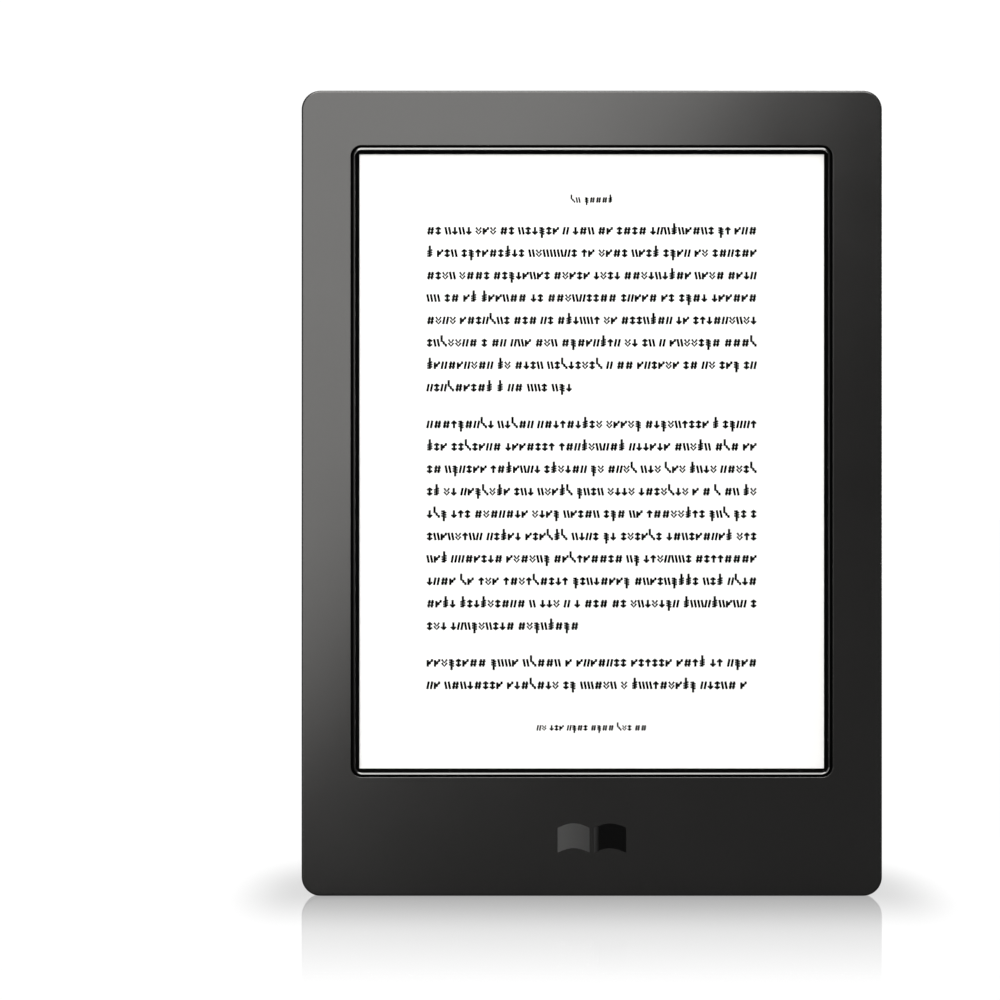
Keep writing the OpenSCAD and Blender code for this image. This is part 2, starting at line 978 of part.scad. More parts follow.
module battery_tape() {
    strip_h = 18;
    color("#e6e2d5")
        for (z = [battery_z[0] + 6, battery_z[1] - 6 - strip_h])
            block(grow(battery_x, -4), [plate_y[1], battery_y[0]], [z, z + strip_h]);
}

module battery_leads() {
    inward = -1.5;
    color("#a12820")
        for (i = [-1 : 1]) {
            x = middle(header_x) + i * lead_pitch;
            wire([
                [x, lead_y, plug_z[1]], [x, lead_y, plug_z[1] + 2.5],
                [x + inward, lead_y - 0.9, battery_z[0] - 2.5],
                [x + inward, lead_y - 0.9, battery_z[0]]
            ], lead_r);
        }
}

module battery_plug() {
    color("#ece8dc")
        block(grow(header_x, -0.5), around(lead_y, 1.4), plug_z);
}

module battery_header() {
    color("#e2dccb")
        mounted(header_x, header_z, 1.6);
}

front_bezel();
emblem_inlay();
rear_cover();
perimeter_seal();
chassis();
chassis_screws();
infrared_window_frame();
touch_board();
infrared_emitters();
infrared_receivers();
touch_flex();
front_light_guide();
front_light_leds();
front_light_flex();
e_paper_film();
backplane_glass();
display_drivers();
display_flex();
display_tape();
power_button();
power_button_seal();
power_switch();
power_board();
power_flex();
status_led();
status_light_pipe();
port_door();
port_door_seal();
port_door_pin();
port_frame();
usb_receptacle();
usb_tongue();
usb_contacts();
card_socket();
card_slider();
reset_switch();
reset_plunger();
main_board();
board_screws();
processor();
memory_chips();
power_chip();
coils();
small_parts();
shield_can();
wireless_module();
wireless_antenna();
antenna_cable();
board_connectors();
inner_card_socket();
inner_card();
cover_sensor();
battery_cell();
battery_tape();
battery_leads();
battery_plug();
battery_header();
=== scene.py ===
import json
import math
import random

import bmesh
import bpy
from mathutils import Matrix, Vector


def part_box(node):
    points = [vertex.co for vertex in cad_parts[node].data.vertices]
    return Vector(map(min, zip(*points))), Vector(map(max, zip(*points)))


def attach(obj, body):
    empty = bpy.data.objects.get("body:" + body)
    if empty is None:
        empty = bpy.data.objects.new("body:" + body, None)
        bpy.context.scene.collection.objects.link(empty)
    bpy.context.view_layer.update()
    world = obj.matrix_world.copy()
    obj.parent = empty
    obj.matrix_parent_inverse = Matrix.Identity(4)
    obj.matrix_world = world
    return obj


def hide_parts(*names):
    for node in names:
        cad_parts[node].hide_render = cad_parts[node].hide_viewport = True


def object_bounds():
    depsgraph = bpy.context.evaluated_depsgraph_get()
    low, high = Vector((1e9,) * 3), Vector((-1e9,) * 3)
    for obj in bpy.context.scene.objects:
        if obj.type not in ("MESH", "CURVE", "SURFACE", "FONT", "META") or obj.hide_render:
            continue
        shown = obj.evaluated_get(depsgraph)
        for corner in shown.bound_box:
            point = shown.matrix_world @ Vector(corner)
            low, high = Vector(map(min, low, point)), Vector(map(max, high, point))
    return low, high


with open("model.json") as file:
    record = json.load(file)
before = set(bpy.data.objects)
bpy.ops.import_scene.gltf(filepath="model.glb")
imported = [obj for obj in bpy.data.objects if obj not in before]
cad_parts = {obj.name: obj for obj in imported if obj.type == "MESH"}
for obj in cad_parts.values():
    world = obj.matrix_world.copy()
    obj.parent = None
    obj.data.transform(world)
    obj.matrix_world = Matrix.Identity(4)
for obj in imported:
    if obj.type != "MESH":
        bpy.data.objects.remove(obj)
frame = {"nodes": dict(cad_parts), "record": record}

MM = 0.001
CAD_BOX = [list(corner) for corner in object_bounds()]
LOW, HIGH = (Vector(corner) for corner in CAD_BOX)
NODES = frame["nodes"]
RECORD = frame["record"]


# ---- Materials -------------------------------------------------------------------------------

def new_material(name):
    """A material, its node tree and its main shader."""
    material = bpy.data.materials.new(name)
    material.use_nodes = True
    tree = material.node_tree
    shader = tree.nodes["Principled BSDF"]
    return material, tree, shader


def link(tree, source, target):
    tree.links.new(source, target)


def place(tree):
    """Coordinates in the object's own frame, in millimetres."""
    coords = tree.nodes.new("ShaderNodeTexCoord")
    scaled = tree.nodes.new("ShaderNodeVectorMath")
    scaled.operation = "SCALE"
    scaled.inputs["Scale"].default_value = 1 / MM
    link(tree, coords.outputs["Object"], scaled.inputs[0])
    return scaled.outputs["Vector"]


def noise(tree, where, scale, detail=3.0, roughness=0.5):
    """Noise from 0 to 1, of the given scale to a millimetre."""
    node = tree.nodes.new("ShaderNodeTexNoise")
    node.inputs["Scale"].default_value = scale
    node.inputs["Detail"].default_value = detail
    node.inputs["Roughness"].default_value = roughness
    link(tree, where, node.inputs["Vector"])
    return node.outputs["Fac"]


def ramp(tree, value, stops):
    """Colour ramp through (position, colour) stops."""
    node = tree.nodes.new("ShaderNodeValToRGB")
    band = node.color_ramp
    while len(band.elements) < len(stops):
        band.elements.new(0.5)
    for element, (position, colour) in zip(band.elements, stops):
        element.position = position
        element.color = (*colour, 1)
    link(tree, value, node.inputs["Fac"])
    return node.outputs["Color"]


def spread(tree, value, low, high, kind="LINEAR"):
    """A value from 0 to 1, spread over the range from low to high."""
    node = tree.nodes.new("ShaderNodeMapRange")
    node.inputs["To Min"].default_value = low
    node.inputs["To Max"].default_value = high
    node.interpolation_type = kind
    link(tree, value, node.inputs["Value"])
    return node.outputs["Result"]


def bump(tree, shader, height, distance):
    """Surface relief, where a height of 1 stands out by the distance."""
    node = tree.nodes.new("ShaderNodeBump")
    node.inputs["Distance"].default_value = distance
    node.inputs["Strength"].default_value = 1.0
    link(tree, height, node.inputs["Height"])
    link(tree, node.outputs["Normal"], shader.inputs["Normal"])


def grey(level):
    return (level, level, level)


def shade(colour, factor):
    """A colour made lighter or darker by a factor."""
    return tuple(min(1.0, channel * factor) for channel in colour)


# Blotches for each millimetre, over which the roughness varies by this much each way
BLOTCHES = 0.05
ROUGHNESS_PLAY = 0.03


def grained(name, colour, roughness, grain, depth, contrast, metallic=0.0, specular=0.5):
    """Moulded or rolled surface.

    grain is the number of grains for each millimetre, depth their height in millimetres, and
    contrast how far their colour goes to each side of the mean.
    """
    material, tree, shader = new_material(name)
    where = place(tree)
    fine = noise(tree, where, grain, 4.0, 0.6)
    broad = noise(tree, where, BLOTCHES, 2.0)
    dark, light = shade(colour, 1 - contrast), shade(colour, 1 + contrast)
    link(tree, ramp(tree, fine, [(0.3, dark), (0.7, light)]), shader.inputs["Base Color"])
    worn = spread(tree, broad, roughness - ROUGHNESS_PLAY, roughness + ROUGHNESS_PLAY)
    link(tree, worn, shader.inputs["Roughness"])
    bump(tree, shader, fine, depth * MM)
    shader.inputs["Metallic"].default_value = metallic
    shader.inputs["Specular IOR Level"].default_value = specular
    return material


# Pebbles of the back's grain for each millimetre, and how far they stand out
PEBBLES = 2.6
PEBBLE_HEIGHT = 0.04 * MM


def back_grain():
    """Fine leathery grain of the moulded back: soft pebbles with a finer noise on them."""
    material, tree, shader = new_material("back_grain")
    where = place(tree)
    cells = tree.nodes.new("ShaderNodeTexVoronoi")
    cells.inputs["Scale"].default_value = PEBBLES
    cells.feature = "SMOOTH_F1"
    link(tree, where, cells.inputs["Vector"])
    pebble = cells.outputs["Distance"]
    fine = noise(tree, where, 7, 4.0, 0.65)
    height = tree.nodes.new("ShaderNodeMath")
    height.operation = "MULTIPLY_ADD"
    link(tree, fine, height.inputs[0])
    height.inputs[1].default_value = 0.5
    link(tree, pebble, height.inputs[2])
    bump(tree, shader, height.outputs[0], PEBBLE_HEIGHT)
    tint = ramp(tree, fine, [(0.32, (0.027, 0.026, 0.026)), (0.68, (0.054, 0.052, 0.052))])
    link(tree, tint, shader.inputs["Base Color"])
    link(tree, spread(tree, pebble, 0.28, 0.36), shader.inputs["Roughness"])
    shader.inputs["Specular IOR Level"].default_value = 0.5
    return material


def paper():
    """Lit e-paper: fibrous white with a faint glow from the front light."""
    material, tree, shader = new_material("e_paper_page")
    where = place(tree)
    fibre = noise(tree, where, 5, 5.0, 0.7)
    tint = ramp(tree, fibre, [(0.3, (0.87, 0.87, 0.86)), (0.7, (0.93, 0.93, 0.92))])
    link(tree, tint, shader.inputs["Base Color"])
    bump(tree, shader, fibre, 0.002 * MM)
    shader.inputs["Roughness"].default_value = 0.9
    shader.inputs["Specular IOR Level"].default_value = 0.1
    shader.inputs["Emission Color"].default_value = (1, 1, 1, 1)
    shader.inputs["Emission Strength"].default_value = 0.1
    return material


def clear(name, colour, alpha, roughness):
    """Clear or frosted sheet, a little uneven."""
    material, tree, shader = new_material(name)
    frost = noise(tree, place(tree), 6, 2.0)
    tint = ramp(tree, frost, [(0.3, shade(colour, 0.96)), (0.7, colour)])
    link(tree, tint, shader.inputs["Base Color"])
    bump(tree, shader, frost, 0.0005 * MM)
    shader.inputs["Roughness"].default_value = roughness
    shader.inputs["Alpha"].default_value = alpha
    return material


def circuit():
    """Solder mask with faint tracks running both ways."""
    material, tree, shader = new_material("solder_mask")
    where = place(tree)
    cells = tree.nodes.new("ShaderNodeTexBrick")
    cells.inputs["Scale"].default_value = 0.6
    cells.inputs["Mortar Size"].default_value = 0.035
    cells.inputs["Color1"].default_value = (0.010, 0.055, 0.030, 1)
    cells.inputs["Color2"].default_value = (0.012, 0.070, 0.038, 1)
    cells.inputs["Mortar"].default_value = (0.03, 0.16, 0.08, 1)
    turned = tree.nodes.new("ShaderNodeVectorRotate")
    turned.rotation_type = "X_AXIS"
    turned.inputs["Angle"].default_value = math.pi / 2
    link(tree, where, turned.inputs["Vector"])
    link(tree, turned.outputs["Vector"], cells.inputs["Vector"])
    link(tree, cells.outputs["Color"], shader.inputs["Base Color"])
    bump(tree, shader, cells.outputs["Fac"], 0.02 * MM)
    shader.inputs["Roughness"].default_value = 0.35
    return material


# The emblem runs this far to each side of the middle, in millimetres
EMBLEM_REACH = 8


def emblem_painted_highlight():
    """Gloss film with a painted highlight: its colour runs from grey on its left to black on its
    right.
    """
    material, tree, shader = new_material("emblem_gloss_with_painted_highlight")
    where = place(tree)
    split = tree.nodes.new("ShaderNodeSeparateXYZ")
    link(tree, where, split.inputs[0])
    across = tree.nodes.new("ShaderNodeMapRange")
    across.inputs["From Min"].default_value = -EMBLEM_REACH
    across.inputs["From Max"].default_value = EMBLEM_REACH
    link(tree, split.outputs["X"], across.inputs["Value"])
    # Painted highlight: the left half is painted lighter grey, fading to black on the right
    painted_highlight_tones = [(0.1, grey(0.075)), (0.5, grey(0.05)), (0.6, grey(0.002))]
    link(tree, ramp(tree, across.outputs["Result"], painted_highlight_tones), shader.inputs["Base Color"])
    speckle = noise(tree, where, 3)
    link(tree, spread(tree, speckle, 0.16, 0.22), shader.inputs["Roughness"])
    bump(tree, shader, speckle, 0.0004 * MM)
    shader.inputs["Specular IOR Level"].default_value = 0.12
    return material


def ink():
    """Particles of black pigment, a little uneven."""
    return grained(
        "page_ink", grey(0.004), roughness=0.8, grain=14, depth=0.001, contrast=0.3, specular=0.0
    )


def window_matt():
    """Dark, finely blasted plastic of the window frame away from its ledge."""
    return grained(
        "window_matt", grey(0.002), roughness=0.8, grain=12, depth=0.002, contrast=0.2, specular=0.0
    )


def frosted_pipe():
    """Milky acrylic of the status light, less clear than its slot's common material."""
    return clear("frosted_pipe", (0.75, 0.76, 0.76), alpha=0.75, roughness=0.35)


# By material slot
MATERIALS = {
    "bezel_plastic": grained(
        "bezel_soft_touch", (0.0100, 0.0097, 0.0093),
        roughness=0.195, grain=9, depth=0.002, contrast=0.1,
    ),
    # The emblem's colour carries a painted highlight, lighter on its left
    "emblem_film": emblem_painted_highlight(),
    "back_plastic": back_grain(),
    "window_plastic": grained(
        "window_gloss", grey(0.003),
        roughness=0.12, grain=3, depth=0.0003, contrast=0.1, specular=0.8,
    ),
    "seal_rubber": grained(
        "seal_rubber", grey(0.012),
        roughness=0.75, grain=5, depth=0.01, contrast=0.2,
    ),
    "chassis_alloy": grained(
        "chassis_alloy", (0.46, 0.47, 0.48),
        roughness=0.42, grain=3, depth=0.006, contrast=0.12, metallic=1.0,
    ),
    "screw_steel": grained(
        "screw_steel", (0.55, 0.55, 0.56),
        roughness=0.28, grain=12, depth=0.002, contrast=0.1, metallic=1.0,
    ),
    "circuit_board": circuit(),
    "chip_plastic": grained(
        "chip_epoxy", (0.016, 0.016, 0.018),
        roughness=0.55, grain=10, depth=0.004, contrast=0.2,
    ),
    "flex_film": grained(
        "flex_film", (0.42, 0.20, 0.045),
        roughness=0.38, grain=2, depth=0.003, contrast=0.18,
    ),
    "guide_acrylic": clear("guide_acrylic", grey(0.2), alpha=0.015, roughness=0.2),
    "led_phosphor": grained(
        "led_phosphor", (0.85, 0.78, 0.32),
        roughness=0.5, grain=12, depth=0.004, contrast=0.12,
    ),
    "e_paper": paper(),
    "display_glass": clear("display_glass", (0.45, 0.55, 0.53), alpha=0.6, roughness=0.08),
    "foam_tape": grained(
        "foam_tape", (0.02, 0.02, 0.021),
        roughness=0.85, grain=6, depth=0.02, contrast=0.3,
    ),
    "button_plastic": grained(
        "button_soft_touch", (0.014, 0.0135, 0.013),
        roughness=0.36, grain=9, depth=0.002, contrast=0.1,
    ),
    "door_plastic": grained(
        "door_soft_touch", (0.016, 0.0155, 0.015),
        roughness=0.42, grain=8, depth=0.004, contrast=0.14,
    ),
    "tin_plate": grained(
        "tin_plate", (0.62, 0.63, 0.64),
        roughness=0.22, grain=4, depth=0.002, contrast=0.08, metallic=1.0,
    ),
    "gold_contact": grained(
        "gold_contact", (0.83, 0.58, 0.2),
        roughness=0.2, grain=8, depth=0.001, contrast=0.08, metallic=1.0,
    ),
    "socket_plastic": grained(
        "socket_plastic", grey(0.02),
        roughness=0.5, grain=9, depth=0.004, contrast=0.15,
    ),
    "white_plastic": grained(
        "white_plastic", (0.72, 0.69, 0.58),
        roughness=0.5, grain=8, depth=0.003, contrast=0.06,
    ),
    "ferrite": grained(
        "ferrite", (0.05, 0.047, 0.045),
        roughness=0.6, grain=12, depth=0.01, contrast=0.35,
    ),
    "pouch_foil": grained(
        "pouch_foil", (0.5, 0.51, 0.53),
        roughness=0.33, grain=0.8, depth=0.03, contrast=0.08, metallic=0.85,
    ),
    "wire_sleeve": grained(
        "wire_sleeve", (0.3, 0.015, 0.01),
        roughness=0.5, grain=6, depth=0.003, contrast=0.12,
    ),
    "coax_sleeve": grained(
        "coax_sleeve", grey(0.015),
        roughness=0.5, grain=6, depth=0.003, contrast=0.15,
    ),
}
SLOT_OF = {part["node"]: part["material_slot"] for part in RECORD["subparts"]}


def dress(obj, slot):
    """Give an object its slot's material and no other."""
    obj.data.materials.clear()
    obj.data.materials.append(MATERIALS[slot])


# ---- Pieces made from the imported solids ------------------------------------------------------

BODY_OF = {node: body for body, nodes in RECORD["behaviour"]["bodies"].items() for node in nodes}

# Points closer than this are one, and faces that differ by less than this angle are one
MERGE_GAP = 0.001 * MM
FLAT_ANGLE = math.radians(0.4)
# A piece's shading breaks at edges sharper than this
SHARP_ANGLE = math.radians(35)


def joined_mesh(node):
    """The node's mesh with its faces joined up and its flat faces whole."""
    bm = bmesh.new()
    bm.from_mesh(NODES[node].data)
    bmesh.ops.remove_doubles(bm, verts=bm.verts, dist=MERGE_GAP)
    bmesh.ops.dissolve_limit(bm, angle_limit=FLAT_ANGLE, verts=bm.verts, edges=bm.edges)
    bm.normal_update()
    return bm


def turn(edge):
    """Angle between the two faces at an edge, or 0 where there aren't two."""
    return edge.calc_face_angle(0.0) if len(edge.link_faces) == 2 else 0.0


def round_edges(bm, edges, width, steps):
    """Round a set of edges over the given width."""
    bmesh.ops.bevel(
        bm, geom=list(edges), offset=width, offset_type="OFFSET", segments=steps, profile=0.5,
        affect="EDGES", clamp_overlap=True,
    )


def new_piece(bm, name, slot, body):
    """A smooth-shaded object from a mesh, dressed and riding on its body."""
    mesh = bpy.data.meshes.new(name)
    for face in bm.faces:
        face.smooth = True
    bm.to_mesh(mesh)
    bm.free()
    mesh.set_sharp_from_angle(angle=SHARP_ANGLE)
    piece = bpy.data.objects.new(name, mesh)
    bpy.context.collection.objects.link(piece)
    piece.modifiers.new("face_normals", "WEIGHTED_NORMAL").keep_sharp = True
    dress(piece, slot)
    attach(piece, body)
    return piece


def stand_for(bm, name, node):
    """A detailed piece in the place of a plain solid."""
    piece = new_piece(bm, name, SLOT_OF[node], BODY_OF[node])
    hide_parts(node)
    return piece


# Width of the rounding along each casing's edges
BEZEL_RIM_ROUND = 0.45 * MM
BEZEL_WINDOW_ROUND = 0.12 * MM
BACK_FOLD_ROUND = 0.7 * MM
# An edge this near to the body's sides belongs to its outline
OUTLINE_BAND = 5 * MM
# A point this near to a plane lies in it
SAME_PLANE = 0.01 * MM
# A facet of the back is larger than this, in square metres
FACET_AREA = 1e-4
# The faces at a rim, at a fold of the back and at a small solid's edge turn by more than these
RIM_TURN = math.radians(60)
FOLD_TURN = math.radians(4)
EDGE_TURN = math.radians(40)


def at_y(edge, y):
    return all(abs(vert.co.y - y) < SAME_PLANE for vert in edge.verts)


def is_on_outline(edge):
    """Whether an edge lies on the body's outer wall."""
    return not all(
        LOW.x + OUTLINE_BAND < v.co.x < HIGH.x - OUTLINE_BAND
        and OUTLINE_BAND < v.co.z < HIGH.z - OUTLINE_BAND
        for v in edge.verts
    )


def is_in_emblem(edge):
    """Whether an edge belongs to the shallow pocket of the emblem."""
    low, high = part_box("emblem_inlay")
    return all(low.z - MM < v.co.z < high.z + MM for v in edge.verts)


def make_bezel():
    """The front casing, softly rounded round its rim and finely round its window."""
    bm = joined_mesh("front_bezel")
    front = [e for e in bm.edges if at_y(e, LOW.y) and turn(e) > RIM_TURN]
    rim = [e for e in front if is_on_outline(e)]
    window = [e for e in front if not is_on_outline(e) and not is_in_emblem(e)]
    round_edges(bm, rim, BEZEL_RIM_ROUND, 5)
    round_edges(bm, window, BEZEL_WINDOW_ROUND, 4)
    stand_for(bm, "bezel_front_casing", "front_bezel")


def make_back():
    """The back casing, with softened folds between its facets."""
    bm = joined_mesh("rear_cover")
    facets = {f for f in bm.faces if f.normal.y > 0.9 and f.calc_area() > FACET_AREA}
    folds = [
        e for e in bm.edges
        if any(f in facets for f in e.link_faces) and turn(e) > FOLD_TURN
    ]
    round_edges(bm, folds, BACK_FOLD_ROUND, 4)
    stand_for(bm, "back_shell", "rear_cover")


# Small solids with rounded edges: node, piece, the rounding's width and its steps
SOFTENED = [
    ("emblem_inlay", "book_emblem", 0.02 * MM, 2),
    ("power_button", "power_key", 0.12 * MM, 3),
    ("port_door", "port_flap", 0.1 * MM, 3),
    ("port_frame", "port_bay_frame", 0.1 * MM, 2),
    ("usb_receptacle", "usb_shell", 0.05 * MM, 2),
    ("card_socket", "card_cage", 0.04 * MM, 2),
    ("card_slider", "card_catch", 0.06 * MM, 2),
    ("reset_plunger", "reset_pin", 0.06 * MM, 2),
]


def soften(node, name, width, steps):
    """A copy of a small node with all its sharp outer edges rounded."""
    bm = joined_mesh(node)
    sharp = [e for e in bm.edges if turn(e) > EDGE_TURN and e.is_convex]
    round_edges(bm, sharp, width, steps)
    stand_for(bm, name, node)


# ---- Window frame ----------------------------------------------------------------------------

SCREEN_LOW, SCREEN_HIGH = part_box("e_paper_film")
# How far the page runs in behind the frame, and the widths of the frame's slope and ledge
FILM_TUCK = 0.9 * MM
SLOPE_W = 0.85 * MM
LEDGE_W = 0.5 * MM
FLANGE_RADIUS = 2.8 * MM
WALL_RADIUS = 1.9 * MM
SCREEN_RADIUS = 0.05 * MM
CORNER_STEPS = 8
# The ledge's ridge lies below its middle line, so its level stretches lean upwards
RIDGE_DEPTH = 0.16 * MM
RIDGE_DROP = 0.13 * MM
RIDGE_ROUND = 0.03 * MM


def ring(outset, y, radius, drop=0.0):
    """Round-cornered rectangle that lies outset from the lit screen, at the depth y."""
    grown = outset - FILM_TUCK
    x0, x1 = SCREEN_LOW.x - grown, SCREEN_HIGH.x + grown
    z0, z1 = SCREEN_LOW.z - grown - drop, SCREEN_HIGH.z + grown - drop
    centres = [
        (x1 - radius, z1 - radius), (x0 + radius, z1 - radius),
        (x0 + radius, z0 + radius), (x1 - radius, z0 + radius),
    ]
    points = []
    for corner, (cx, cz) in enumerate(centres):
        for step in range(CORNER_STEPS + 1):
            angle = math.pi / 2 * (corner + step / CORNER_STEPS)
            points.append((cx + radius * math.cos(angle), y, cz + radius * math.sin(angle)))
    return points


def loft(rings):
    """Closed skin through rings of the same number of points, the last joined to the first."""
    bm = bmesh.new()
    rows = [[bm.verts.new(point) for point in points] for points in rings]
    count = len(rows[0])
    for row, following in zip(rows, rows[1:] + rows[:1]):
        for i in range(count):
            j = (i + 1) % count
            bm.faces.new((row[i], row[j], following[j], following[i]))
    bmesh.ops.recalc_face_normals(bm, faces=bm.faces)
    return bm


def make_window_frame():
    """Flange, wall, ridged ledge and the slope that falls from it to the screen."""
    low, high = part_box("infrared_window_frame")
    flange_outset = SCREEN_LOW.x + FILM_TUCK - low.x
    wall_outset = SLOPE_W + LEDGE_W
    skin_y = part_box("perimeter_seal")[0].y
    ledge_back = low.y + RIDGE_DEPTH
    rings = [
        ring(flange_outset, high.y, FLANGE_RADIUS),
        ring(flange_outset, skin_y, FLANGE_RADIUS),
        ring(wall_outset, skin_y, WALL_RADIUS),
        ring(wall_outset, ledge_back, WALL_RADIUS),
    ]
    for side in (1, -1):
        outset = SLOPE_W + LEDGE_W / 2 + side * RIDGE_ROUND
        rings.append(ring(outset, low.y, WALL_RADIUS - wall_outset + outset, RIDGE_DROP))
    rings.append(ring(SLOPE_W, ledge_back, WALL_RADIUS - LEDGE_W))
    rings.append(ring(0, high.y, SCREEN_RADIUS))
    piece = stand_for(loft(rings), "screen_window_frame", "infrared_window_frame")
    piece.data.materials.append(window_matt())
    for face in piece.data.polygons:
        if face.center.y > ledge_back:
            face.material_index = 1


# ---- Page ------------------------------------------------------------------------------------

# Room before the page for its ink, and behind the clear sheet
PAGE_GAP = 0.03 * MM
GUIDE_GAP = 0.01 * MM
SHEET_ROUND = 0.04 * MM


def sheet(name, x, y, z, node):
    """A sheet with softened edges, given by its ranges, in the place of a node."""
    bm = bmesh.new()
    bmesh.ops.create_cube(bm, size=1)
    size = Vector((x[1] - x[0], y[1] - y[0], z[1] - z[0]))
    middle = Vector((sum(x), sum(y), sum(z))) / 2
    bm.transform(Matrix.Translation(middle) @ Matrix.Diagonal((*size, 1)))
    bm.normal_update()
    round_edges(bm, bm.edges, SHEET_ROUND, 2)
    stand_for(bm, name, node)


def make_page():
    """The page, which leaves room for the ink before it."""
    low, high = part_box("e_paper_film")
    y = (low.y + PAGE_GAP, high.y)
    sheet("lit_page", (low.x, high.x), y, (low.z, high.z), "e_paper_film")


def make_guide():
    """The clear sheet over the page, just free of the layer behind it."""
    low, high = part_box("front_light_guide")
    y = (low.y, high.y - GUIDE_GAP)
    sheet("clear_light_guide", (low.x, high.x), y, (low.z, high.z), "front_light_guide")


# ---- Made-up signs on the page, which are in no real script ----------------------------------

X_HEIGHT = 1.7 * MM
LINE_PITCH = 4.99 * MM
PAGE_MARGIN = 15 * MM
FIRST_BASELINE = 17.85 * MM
PARAGRAPH_SKIP = 3.2 * MM
HEADER_DROP = 10.75 * MM
FOOTER_RISE = 8.4 * MM
SMALL_PRINT = 0.72
# Lines in each paragraph, with the share of the column that its last line fills
PARAGRAPHS = [(8, 0.44), (10, 0.46), (2, 0.97)]
HEADER_W, FOOTER_W = 9.3 * MM, 24.4 * MM
INK_FRONT = 0.015 * MM
# The rest is in shares of X_HEIGHT, the height of a common sign
THICK, THIN = 0.3, 0.19
TALL, DEEP = 0.5, -0.45
SIGN_GAP = 0.15
WORD_GAP = 0.5
# Shares of the upright signs that reach up and down
TALL_SHARE, DEEP_SHARE = 0.3, 0.15
# How many different signs there are, and the lengths that words are drawn from
SIGN_COUNT = 22
WORD_LENGTHS = (1, 2, 2, 3, 3, 4, 4, 5, 6, 7, 8, 9)
SEED = 20

# Forms of the signs, each with its width and its strokes
FORMS = {
    "arrow": (0.74, [[(0.37, 0), (0.37, 1)], [(0.04, 0.6), (0.37, 0.97), (0.7, 0.6)]]),
    "double_arrow": (0.74, [
        [(0.37, 0), (0.37, 1)], [(0.04, 0.68), (0.37, 0.98), (0.7, 0.68)],
        [(0.04, 0.32), (0.37, 0.02), (0.7, 0.32)],
    ]),
    "hash": (0.98, [
        [(0.2, 0), (0.36, 1)], [(0.6, 0), (0.76, 1)],
        [(0.02, 0.32), (0.88, 0.32)], [(0.08, 0.7), (0.94, 0.7)],
    ]),
    "chevrons": (0.8, [
        [(0.06, 0.05), (0.4, 0.5), (0.74, 0.05)], [(0.06, 0.5), (0.4, 0.95), (0.74, 0.5)],
    ]),
    "crossed_levels": (0.78, [
        [(0.39, 0), (0.39, 1)], [(0.05, 0.1), (0.73, 0.34)],
        [(0.05, 0.4), (0.73, 0.64)], [(0.05, 0.7), (0.73, 0.94)],
    ]),
    "slashes": (0.78, [[(0.06, 0), (0.26, 1)], [(0.52, 0), (0.72, 1)]]),
    "stairs": (0.8, [
        [(0.12, 0.62), (0.12, 1)], [(0.4, 0.3), (0.4, 0.68)], [(0.68, 0), (0.68, 0.36)],
        [(0.12, 0.65), (0.4, 0.65)], [(0.4, 0.33), (0.68, 0.33)],
    ]),
}


def invent_sign(rng):
    """One made-up sign: a form turned over at random, sometimes with its upright longer."""
    width, strokes = FORMS[rng.choice(sorted(FORMS))]
    mirror, tip = rng.random() < 0.5, rng.random() < 0.5
    turned = [
        [(width - x if mirror else x, 1 - z if tip else z) for x, z in points]
        for points in strokes
    ]
    growth = rng.random()
    (x0, z0), (x1, z1) = turned[0][0], turned[0][-1]
    if x0 == x1 and growth < TALL_SHARE:
        turned[0] = [(x0, min(z0, z1)), (x0, max(z0, z1) + TALL)]
    elif x0 == x1 and growth < TALL_SHARE + DEEP_SHARE:
        turned[0] = [(x0, min(z0, z1) + DEEP), (x0, max(z0, z1))]
    return width, turned


def pen_width(run):
    """Broad on upright strokes and fine on level ones, as a pen writes."""
    return THIN + (THICK - THIN) * abs(run.y) / run.length


def add_stroke(bm, points, left, baseline, size, y):
    """Flat closed ribbon along a stroke, at the depths y."""
    line = [Vector(point) for point in points]
    runs = [b - a for a, b in zip(line, line[1:])]
    rows = []
    for i, point in enumerate(line):
        run = runs[max(i - 1, 0)] + runs[min(i, len(runs) - 1)]
        half = Vector((-run.y, run.x)).normalized() * pen_width(run) / 2
        sides = (point - half, point + half)
        rows.append([
            bm.verts.new((left + side.x * size, depth, baseline + side.y * size))
            for depth in y for side in sides
        ])
    for row, following in zip(rows, rows[1:]):
        for a, b in ((0, 1), (1, 3), (3, 2), (2, 0)):
            bm.faces.new((row[a], row[b], following[b], following[a]))
    bm.faces.new((rows[0][0], rows[0][2], rows[0][3], rows[0][1]))
    bm.faces.new((rows[-1][0], rows[-1][1], rows[-1][3], rows[-1][2]))


def word_width(word):
    return sum(width + SIGN_GAP for width, _ in word) - SIGN_GAP


def choose_words(rng, signs, room):
    """Words that fill the room, in shares of X_HEIGHT, and the space that is left over."""
    words = []
    used = 0.0
    while True:
        word = [rng.choice(signs) for _ in range(rng.choice(WORD_LENGTHS))]
        gap = WORD_GAP if words else 0.0
        while word and used + gap + word_width(word) > room:
            word.pop()
        if not word:
            return words, room - used
        words.append(word)
        used += gap + word_width(word)


def write_line(bm, rng, signs, left, baseline, width, size, y):
    """Words spread over the width, or a single one in its middle."""
    words, spare = choose_words(rng, signs, width / size)
    gap = WORD_GAP + spare / max(len(words) - 1, 1)
    x = left if len(words) > 1 else left + spare * size / 2
    for word in words:
        for sign_width, strokes in word:
            for points in strokes:
                add_stroke(bm, points, x, baseline, size, y)
            x += (sign_width + SIGN_GAP) * size
        x += (gap - SIGN_GAP) * size


